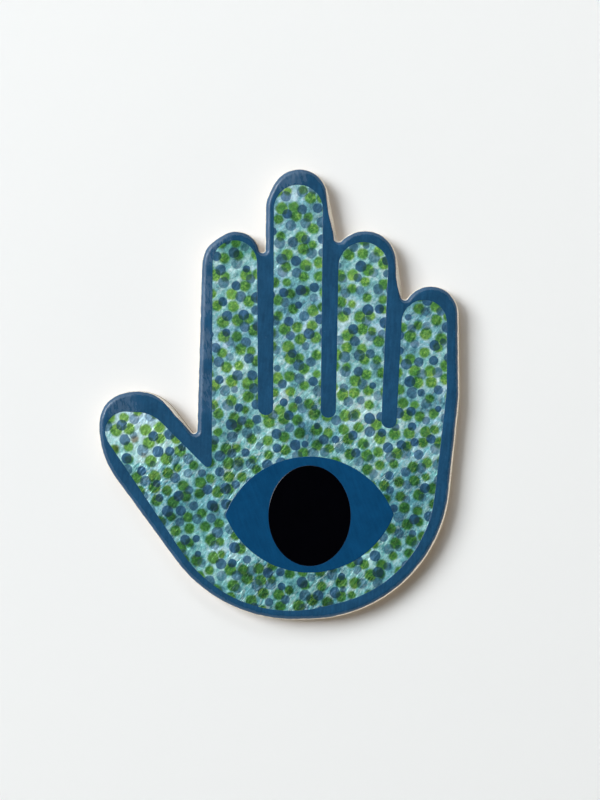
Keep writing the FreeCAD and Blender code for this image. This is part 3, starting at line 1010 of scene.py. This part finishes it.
        # The green drops are lightened towards yellow-green in patches, along the streaks and in some whole
        # drops: a painted glint of the foil under the ink.
        glint_patches = flat.cloud(1.2, 4.0, 0.6).ramp(0.4, 0.65, 0.0, 0.8)
        # Towards the bottom of the palm the leaf is tinted darker, the green ink is deeper and its painted
        # glint weaker: partly their own tone there, partly painted shade where the light falls off.
        palm = flat.part("Y").ramp(*self.palm_ink)
        lit = (green["Chance"] * 0.5).most(streaks.most(glint_patches))
        glow = lit * palm.line(0.0, 1.0, 1.0, 0.5)
        tint = mix(glow, mix(palm, self.green, self.green_deep), self.green_glow)
        shaded = mix(palm, leaf, self.palm_shade, "MULTIPLY")
        through_green = mix(green["Mask"] * 0.95, shaded, tint, "MULTIPLY")
        soaked = mix(1.0, through_green, self.slate, "MULTIPLY")
        strong = slate["Mask"] * slate["Chance"].line(0.0, 0.7, 0.6, 1.0)
        return mix(strong, through_green, mix(0.28, soaked, self.slate_body))


@dataclass(frozen=True)
class SteelFinish(Finish):
    """Plated sheet steel: brushed along its length, smudged, and bright where it is rubbed."""

    name: str
    colour: Colour
    dull: Colour
    brushing: float = 20.0
    roughness: tuple[float, float] = (0.28, 0.46)

    def shade(self, mm: Value) -> dict[str, Any]:
        """Brush the metal, and mark it with smudges, dull hollows, scratches and pits.

        Args:
            mm: The place, in millimetres.

        Returns:
            Values for the shader's inputs, by name.
        """
        mix = mm.graph.mix
        brushed = mm.stretch(0.0, self.brushing).cloud(0.12, 3.0, 0.6)
        smudge = mm.cloud(4.5, 4.0, 0.6)
        scratches = mm.stretch(63.0, 5.0).mask(Effect.CREASES, size=2.0, width=0.01)
        pits = mm.mask(Effect.SPECKS, pitch=1.6, radius=0.12, share=0.25)
        low = mm.mask(Effect.WORN_LEVEL, full=-0.45, gone=-0.05, size=0.8, broken=0.5)
        tone = mix(smudge.ramp(0.35, 0.7), self.colour, self.dull)
        shaded = mix(low * 0.55, tone, self.dull)
        gloss = (brushed + smudge).line(0.6, 1.4, *self.roughness)
        return {
            "Base Color": mix(pits * 0.6, shaded, self.dull, "MULTIPLY"),
            "Metallic": 1.0,
            "Roughness": gloss + scratches * -0.12,
            "Normal": (brushed * 0.3 - scratches - pits).bump(0.012),
        }


@dataclass(frozen=True)
class FeltFinish(Finish):
    """Pressed wool felt: matted fibres of two shades."""

    name: str = "pressed_felt"
    colour: Colour = (0.24, 0.205, 0.17)
    light: Colour = (0.42, 0.37, 0.31)

    def shade(self, mm: Value) -> dict[str, Any]:
        """Mat two layers of crossing fibres over a mottled ground.

        Args:
            mm: The place, in millimetres.

        Returns:
            Values for the shader's inputs, by name.
        """
        one = mm.stretch(30.0, 4.0).effect(Effect.CREASES, size=0.5, width=0.08)
        two = mm.stretch(-50.0, 4.0).effect(Effect.CREASES, size=0.45, width=0.08)
        fibres = one["Mask"].most(two["Mask"])
        base = mm.mottle(self.colour, 3.0, 0.5)
        return {
            "Base Color": mm.graph.mix(fibres * 0.6, base, self.light),
            "Roughness": fibres.line(0.0, 1.0, 0.97, 0.86),
            "Specular IOR Level": 0.2,
            "Sheen Weight": 0.35,
            "Sheen Roughness": 0.5,
            "Normal": (one["Height"] + two["Height"] + fibres).bump(0.12),
        }


@dataclass
class Board:
    """The hand-shaped board, sawn and sanded by hand."""

    arris: float = 0.45 * MM
    arris_segments: int = 3
    grid: float = 4.0 * MM
    wall_step: float = 1.4 * MM
    sanding_size: float = 7.0 * MM
    sanding_depth: float = 0.09 * MM
    corner_fade: float = 1.5

    def build(self) -> list[Piece]:
        """Soften the back edge and work the sawn wall.

        Returns:
            The board.
        """
        piece = Workpiece.plates_of("hand_board")
        low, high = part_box("hand_board")
        plate_low, plate_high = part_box("keyhole_plate")
        reach = max(plate_high.z, -plate_low.z) + plate_high.x
        piece.soften(self.arris, self.arris_segments, lambda edge: is_rim(edge, high.y)
                     and all(vert.co.length > reach for vert in edge.verts))
        piece.cut_grid(self.wall_step, (1,))
        piece.cut_grid(self.grid)
        piece.sink(unevenness(self.sanding_size, self.sanding_depth), self.wall_share(low.y, reach))
        return [piece.finish("sawn_board", Slot.BOARD, "hand_board", FibreboardFinish())]

    def wall_share(self, front: float, reach: float) -> Callable[[Vert], float]:
        """Tell the sawn wall from the flat faces and from the recess of the plate.

        Args:
            front: Level of the front.
            reach: Radius round the origin that holds the recess.

        Returns:
            A vertex's share of the sanding's depth.
        """
        def share(vert: Vert) -> float:
            """Full on the outer wall and none elsewhere."""
            outer = vert.co.length > reach and front + TOUCH < vert.co.y < -TOUCH
            return max(0.0, 1.0 - abs(vert.normal.y) * self.corner_fade) if outer else 0.0

        return share


@dataclass
class Coat:
    """A film of enamel on a flat ground: a rounded rim and a face with its maker's unevenness."""

    node: str
    name: str
    slot: Slot
    finish: Finish
    bead: float = 0.45 * MM
    rings: int = 5
    grid: float = 2.0 * MM
    longest: float = 1.0 * MM
    waver: float = 0.12 * MM
    waver_size: float = 9.0 * MM
    hollow: float = 0.035 * MM
    hollow_size: float = 14.0 * MM

    def build(self) -> Piece:
        """Grow the rim from the outline, span the face and press the unevenness into it.

        Returns:
            The coat.
        """
        low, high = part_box(self.node)
        front, ground = low.y, high.y
        piece = Workpiece.outline_of(self.node, front, self.longest)
        rail = Rail(piece, piece.mesh.edges)
        shift = [self.waver * soft_noise(point / self.waver_size) for point in rail.start]
        rail.place([(inset, ground) for inset in shift])
        rail.bead(shift, self.bead, (ground, front), range(1, self.rings + 1))
        piece.fill(rail.edges())
        piece.cut_grid(self.grid)
        piece.face_front()
        piece.sink(unevenness(self.hollow_size, self.hollow), lambda vert: float(vert.co.y < front + TOUCH))
        piece.fill(piece.rim())
        return piece.finish(self.name, self.slot, self.node, self.finish)


@dataclass
class Leaf:
    """The crinkled leaf, tucked under the border's inner edge."""

    tuck: float = 0.35 * MM
    longest: float = 1.0 * MM
    grid: float = 2.1 * MM
    quick_grid: float = 3.0 * MM
    fold: float = 4.2 * MM
    fold_depth: float = 0.075 * MM
    crumple: float = 1.6 * MM
    crumple_depth: float = 0.04 * MM
    fold_share: float = 0.5
    lean: float = math.radians(40.0)
    stretch: float = 0.4

    def relief(self, point: Vector) -> float:
        """Press slanting folds with a finer crumple between them.

        Args:
            point: A point of the leaf.

        Returns:
            The depth there.
        """
        turned = Matrix.Rotation(-self.lean, 3, "Y") @ point
        slanted = Vector((turned.x, 0.0, turned.z * self.stretch))
        folds = noise.ridged_multi_fractal(slanted / self.fold, *LAYERS, 1.0, 2.0)
        folded = self.fold_depth * held(1.0 - self.fold_share * folds)
        return folded + self.crumple_depth * soft_noise(slanted / self.crumple)

    def build(self) -> list[Piece]:
        """Span the leaf, cut it fine and crinkle it.

        Returns:
            The leaf.
        """
        low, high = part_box("leaf_field")
        piece = Workpiece.outline_of("leaf_field", low.y, self.longest)
        rail = Rail(piece, piece.mesh.edges)
        rail.place([(-self.tuck, low.y)] * len(rail.start))
        piece.fill(rail.edges())
        piece.refine(self.grid)
        piece.face_front()
        piece.sink(self.relief, lambda vert: float(not vert.is_boundary))
        wall = bmesh.ops.extrude_edge_only(piece.mesh, edges=piece.rim())["geom"]
        for vert in (item for item in wall if isinstance(item, Vert)):
            vert.co.y = high.y
        piece.fill(piece.rim())
        return [piece.finish("crinkled_leaf", Slot.LEAF, "leaf_field", LeafFinish())]


@dataclass(frozen=True)
class BareSpot:
    """A stretch of the rim where the enamel stops short of the edge, in millimetres."""

    across: float
    up: float
    reach: float
    width: float


@dataclass
class Border:
    """The border enamel with its finger bars: one coat over the board's rounded edge, open at the leaf."""

    roundover: float = 3.3 * MM
    film: float = 0.3 * MM
    rings: int = 14
    longest: float = 1.0 * MM
    grid: float = 3.0 * MM
    shaded_side: Triple = (0.92, 0.0, -0.39)
    lit_rim: float = 0.42 * MM
    shaded_rim: float = 0.95 * MM
    least_rim: float = 0.2 * MM
    rim_change: float = 1.5
    spot_fade: float = 2.0
    spot_turn: float = 0.6
    waver: float = 0.22 * MM
    waver_size: float = 5.0 * MM
    clearance: float = 0.75 * MM
    lap: float = 0.12 * MM
    lap_bead: float = 0.35 * MM
    lap_rings: int = 3
    lap_waver: float = 0.10 * MM
    hollow: float = 0.06 * MM
    hollow_size: float = 6.0 * MM
    rise: float = 3.0
    shell: float = 0.22 * MM
    spots: tuple[BareSpot, ...] = (
        BareSpot(-76, -46, 17, 1.3),
        BareSpot(18, 66, 16, 0.9),
        BareSpot(57, 28, 12, 1.0),
        BareSpot(20, 52, 5, 0.6),
    )

    def bare(self, point: Vector, inward: Vector) -> float:
        """Measure the bare rim, seen from the front.

        Args:
            point: A point of the outline.
            inward: Direction into the hand there.

        Returns:
            Width of the bare rim.
        """
        toward = Vector(self.shaded_side).dot(-inward)
        width = self.lit_rim + (self.shaded_rim - self.lit_rim) * max(0.0, toward) ** self.rim_change
        for spot in self.spots:
            away = math.hypot(point.x - spot.across * MM, point.z - spot.up * MM) / (spot.reach * MM)
            near = math.exp(-away * away * self.spot_fade)
            width += spot.width * MM * near * max(0.0, toward + self.spot_turn)
        return max(self.least_rim, width + self.waver * noise.fractal(point / self.waver_size, *LAYERS))

    def build(self) -> list[Piece]:
        """Grow the coat over the rounded edge, lap it onto the leaf and span the flat between.

        Returns:
            The coat.
        """
        board_low, board_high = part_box("hand_board")
        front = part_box("border_enamel")[0].y
        leaf_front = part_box("leaf_field")[0].y
        piece = Workpiece.outline_of("hand_board", board_high.y, self.longest)
        outer_wire = set(piece.mesh.edges)
        piece.join(Workpiece.outline_of("leaf_field", leaf_front, self.longest))
        outer, inner = Rail(piece, outer_wire), Rail(piece, set(piece.mesh.edges) - outer_wire)
        self.wrap(outer, board_low.y + self.roundover, self.ends(outer, inner))
        shift = [self.lap + self.lap_waver * noise.noise(point / self.waver_size) for point in inner.start]
        inner.place([(inset, leaf_front + self.film / 2) for inset in shift])
        inner.bead(shift, -self.lap_bead, (leaf_front, front), range(self.lap_rings + 1))
        piece.fill([*outer.edges(), *inner.edges()])
        piece.cut_grid(self.grid)
        piece.face_front()
        relief = unevenness(self.hollow_size, self.hollow, seed=3.0)
        piece.sink(relief, lambda vert: float(not vert.is_boundary))
        coat = piece.finish("border_coat", Slot.BORDER, "border_enamel", self.enamel())
        solid = coat.modifiers.new("coat thickness", "SOLIDIFY")
        solid.thickness, solid.offset = self.shell, -1.0
        return [coat]

    def wrap(self, outer: Rail, centre: float, ends: list[float]) -> None:
        """Grow the coat over the board's rounded edge.

        Args:
            outer: Outline of the board.
            centre: Level of the middle of the rounding.
            ends: Angle at which the coat's flat begins, for each point.
        """
        starts = [math.acos(1 - self.bare(point, side) / self.roundover)
                  for point, side in zip(outer.start, outer.inward)]
        for ring in range(self.rings + 1):
            share = ring / self.rings
            radius = self.roundover + self.film * min(1.0, share * self.rise) ** 0.5
            angles = [start + (end - start) * share for start, end in zip(starts, ends)]
            profile = [(self.roundover - radius * math.cos(angle), centre - radius * math.sin(angle))
                       for angle in angles]
            if ring:
                outer.grow(profile)
            else:
                outer.place(profile)

    def ends(self, outer: Rail, inner: Rail) -> list[float]:
        """Find where the coat's flat begins, which is earlier where the leaf comes close.

        Args:
            outer: Outline of the board.
            inner: Outline of the leaf.

        Returns:
            Angle over the rounded edge, for each point of the board's outline.
        """
        leaf = kdtree.KDTree(len(inner.start))
        for index, point in enumerate(inner.start):
            leaf.insert((point.x, 0.0, point.z), index)
        leaf.balance()
        rooms = [leaf.find((point.x, 0.0, point.z))[2] - self.clearance for point in outer.start]
        whole = self.roundover + self.film
        return [math.acos(max(0.0, self.roundover - room) / whole) for room in rooms]

    @staticmethod
    def enamel() -> EnamelFinish:
        """Dark blue enamel, greyer and lighter where the rounded edge has worn, and lighter in listed spots
        on the top and left edges, a painted highlight.
        """
        return EnamelFinish("border_enamel_paint", (0.015, 0.075, 0.161), (0.085, 0.16, 0.26), -8.8, -9.3,
                            broken=1.4, thin_paint_and_highlight_amount=0.85, level_share=0.15, mottle=0.5, rubbed=0.42,
                            specks=0.03,
                            # These spots on the top and left edges are a painted highlight, not wear.
                            painted_highlight_spots=(Spot(-57.5, 20.0, 17.0, 0.68), Spot(-57.0, -8.0, 15.0, 0.6),
                                     Spot(-56.0, -36.0, 14.0, 0.5), Spot(-52.0, 46.0, 15.0, 0.6),
                                     Spot(-8.0, 93.0, 17.0, 0.75), Spot(-103.0, -43.0, 13.0, 0.55)))


@dataclass
class Eye:
    """The painted eye: a blue almond with a black oval on it."""

    blue: EnamelFinish = EnamelFinish(
        "eye_paint", (0.0045, 0.063, 0.165), (0.03, 0.115, 0.20), -9.22, -9.34, thin_paint_and_highlight_amount=0.6,
        mottle=0.3, mottle_size=7.0, stroke=-20.0, roughness=(0.13, 0.17), rubbed=0.08, specks=0.04)
    black: EnamelFinish = EnamelFinish(
        "pupil_paint", (0.0008, 0.0009, 0.0018), (0.004, 0.006, 0.012), -9.37, -9.49, mottle=0.4,
        roughness=(0.1, 0.13), rubbed=0.02, specks=0.1)
    oval_waver: float = 0.06 * MM

    def build(self) -> list[Piece]:
        """Paint the almond and the oval.

        Returns:
            The two coats.
        """
        almond = Coat("eye_enamel", "eye_almond", Slot.EYE, self.blue)
        oval = Coat("pupil_enamel", "pupil_oval", Slot.PUPIL, self.black, waver=self.oval_waver)
        return [almond.build(), oval.build()]


@dataclass
class Hanger:
    """The keyhole plate and its two screws, let into the back."""

    plate_edge: float = 0.16 * MM
    screw_edge: float = 0.05 * MM
    segments: int = 2
    crisp: float = math.radians(32.0)
    steel: SteelFinish = SteelFinish("plated_plate", (0.60, 0.61, 0.62), (0.36, 0.36, 0.355))
    zinc: SteelFinish = SteelFinish("plated_screws", (0.64, 0.60, 0.50), (0.34, 0.30, 0.22), 1.5,
                                    (0.25, 0.4))

    def build(self) -> list[Piece]:
        """Break the stamped edges of the plate and the turned ones of the screws.

        Returns:
            The plate and the screws.
        """
        plate = self.broken("keyhole_plate", self.plate_edge)
        screws = self.broken("plate_screws", self.screw_edge)
        return [plate.finish("hanger_plate", Slot.PLATE, "keyhole_plate", self.steel),
                screws.finish("hanger_screws", Slot.SCREWS, "plate_screws", self.zinc)]

    def broken(self, node: str, width: float) -> Workpiece:
        """Round every crisp edge of a metal piece.

        Args:
            node: CAD node that holds its shape.
            width: Width of the rounded edge, in metres.

        Returns:
            The piece on the bench.
        """
        piece = Workpiece.plates_of(node)
        piece.soften(width, self.segments, lambda edge: edge.calc_face_angle(0.0) > self.crisp)
        bmesh.ops.triangulate(piece.mesh, faces=piece.mesh.faces)
        return piece


@dataclass
class WallPads:
    """Three felt pads that keep the back off the wall."""

    grid: float = 0.6 * MM
    tuft: float = 1.1 * MM
    tuft_depth: float = 0.14 * MM
    fill: float = 1.0

    def build(self) -> list[Piece]:
        """Felt the plain discs: a matted face and a soft rim.

        Returns:
            The pads, as one piece.
        """
        piece = Workpiece.copy_of("wall_pads")
        piece.cut_grid(self.grid, (0, 1, 2))
        relief = unevenness(self.tuft, self.tuft_depth, seed=9.0)
        piece.sink(relief, lambda vert: float(vert.co.y > TOUCH))
        pads = piece.finish("felt_pads", Slot.PADS, "wall_pads", FeltFinish(), sharp=75.0)
        return [pads]


@dataclass(frozen=True)
class Lamp:
    """A soft lamp: its lean off the front, its bearing (0 is left, 90 is up), distance, size and power."""

    name: str
    lean: float
    bearing: float
    distance: float
    width: float
    height: float
    power: float
    colour: Colour

    def hang(self, aim: Vector) -> None:
        """Hang the lamp.

        Args:
            aim: Point that it shines at.
        """
        lean, bearing = math.radians(self.lean), math.radians(self.bearing)
        side = math.sin(lean)
        direction = Vector((-side * math.cos(bearing), -math.cos(lean), side * math.sin(bearing)))
        data = bpy.data.lights.new(self.name, "AREA")
        data.shape, data.size, data.size_y = "RECTANGLE", self.width, self.height
        data.energy, data.color = self.power, self.colour
        lamp = place_in_scene(self.name, data)
        lamp.location = aim + direction * self.distance
        lamp.rotation_euler = (-direction).to_track_quat("-Z", "Y").to_euler()
        lamp.visible_camera = False


@dataclass
class Studio:
    """The pale wall behind the hand, the soft lamps and the camera."""

    image_height: float = 460.4 * MM
    image_centre: tuple[float, float] = (-1.04 * MM, -40.3 * MM)
    lens: float = 100.0
    sensor: float = 36.0
    wall_gap: float = 0.2 * MM
    wall_size: float = 4.0
    wall_colour: Colour = (0.955, 0.955, 0.95)
    lamps: tuple[Lamp, ...] = (
        Lamp("key", 51.0, 27.0, 9.0, 5.0, 5.0, 925.0, (0.935, 0.965, 0.985)),
        Lamp("front", 31.0, 33.0, 9.0, 4.6, 4.6, 115.0, (0.935, 0.97, 1.0)),
        Lamp("strip", 52.0, 82.0, 3.0, 1.8, 0.7, 15.0, (0.93, 0.97, 1.0)),
    )
    window_side: Triple = (-0.78, 0.0, 0.62)
    warm: Colour = (1.0, 0.92, 0.75)
    neutral: Colour = (1.0, 0.985, 0.96)
    ambient_front: float = 0.175
    ambient_back: float = 0.8
    card: float = 2.4
    white: float = 0.93

    def build(self) -> None:
        """Set up everything that isn't part of the ornament."""
        self.wall()
        for lamp in self.lamps:
            lamp.hang(Vector((self.image_centre[0], CAD_BOX[0].y, self.image_centre[1])))
        self.world()
        self.camera()
        bpy.context.scene.view_settings.view_transform = "Standard"

    def wall(self) -> None:
        """Put a plain pale wall just behind the pads, which lets views from behind through."""
        sheet = bmesh.new()
        bmesh.ops.create_grid(sheet, x_segments=1, y_segments=1, size=self.wall_size)
        upright = Matrix.Rotation(QUARTER, 3, "X")
        bmesh.ops.rotate(sheet, verts=sheet.verts, cent=(0, 0, 0), matrix=upright)
        bmesh.ops.translate(sheet, verts=sheet.verts, vec=(0, CAD_BOX[1].y + self.wall_gap, 0))
        mesh = bpy.data.meshes.new("wall")
        sheet.to_mesh(mesh)
        sheet.free()
        mesh.materials.append(self.wall_paint())
        wall = place_in_scene("wall", mesh)
        wall.visible_diffuse = wall.visible_glossy = wall.visible_transmission = wall.visible_shadow = False

    def wall_paint(self) -> bpy.types.Material:
        """Mix matt wall paint, which nobody sees from behind.

        Returns:
            The material.
        """
        paint = bpy.data.materials.new("wall_paint")
        paint.use_nodes = True
        graph = Graph(paint.node_tree)
        front = graph.take("ShaderNodeBsdfDiffuse", {"Color": opaque(self.wall_colour)})
        clear = graph.take("ShaderNodeBsdfTransparent")
        behind = graph.take("ShaderNodeNewGeometry", output="Backfacing")
        mixed = graph.take("ShaderNodeMixShader", {0: behind, 1: front, 2: clear})
        graph.add("ShaderNodeOutputMaterial", {"Surface": mixed})
        return paint

    def world(self) -> None:
        """Light the room softly from its sides, dim where the camera stands, before a white ground."""
        world = bpy.data.worlds.new("room")
        world.use_nodes = True
        bpy.context.scene.world = world
        graph = Graph(world.node_tree)
        direction = graph.take("ShaderNodeTexCoord", output="Generated")
        to_wall = direction.part("Y")
        to_window = graph.vectors("DOT_PRODUCT", direction, self.window_side, "Value")
        window = to_window.line(-0.4, 0.7, 0.35, 1.7)
        sides = to_wall.ramp(-0.91, -0.5, 0.0, self.ambient_front) * window
        back = to_wall.ramp(-0.1, 0.4, 0.0, self.ambient_back)
        card = to_window.ramp(-0.2, -0.6) * to_wall.ramp(0.5, 0.3, 0.0, self.card)
        strength = sides.most(back) + card * to_wall.ramp(-0.2, -0.1)
        tint = graph.mix(to_wall.ramp(-0.1, 0.3), self.warm, self.neutral)
        light = graph.take("ShaderNodeBackground", {"Color": tint, "Strength": strength})
        plain = graph.take("ShaderNodeBackground", {"Color": opaque((1.0, 1.0, 1.0)), "Strength": self.white})
        rays = graph.outputs("ShaderNodeLightPath")
        mirrored = rays["Is Glossy Ray"].most(rays["Is Transmission Ray"])
        seen = rays["Is Camera Ray"].most(mirrored * to_wall.ramp(0.0, 0.2))
        mixed = graph.take("ShaderNodeMixShader", {0: seen, 1: light, 2: plain})
        graph.add("ShaderNodeOutputWorld", {"Surface": mixed})

    def camera(self) -> None:
        """Set a long lens square to the front, framed as the photograph is."""
        data = bpy.data.cameras.new("camera")
        data.lens, data.sensor_width = self.lens, self.sensor
        camera = place_in_scene("camera", data)
        distance = self.image_height * self.lens / self.sensor
        across, up = self.image_centre
        camera.location = (across, CAD_BOX[0].y - distance, up)
        camera.rotation_euler = (QUARTER, 0.0, 0.0)
        bpy.context.scene.camera = camera


def main() -> None:
    """Build the ornament's sub-assemblies and the studio, and report each piece."""
    logging.basicConfig(level=logging.INFO, format="%(name)s: %(message)s")
    Studio().build()
    for maker in (Board(), Leaf(), Border(), Eye(), Hanger(), WallPads()):
        for piece in maker.build():
            log.info("%s: %d faces", piece.name, len(piece.data.polygons))


if __name__ == "__main__":
    main()
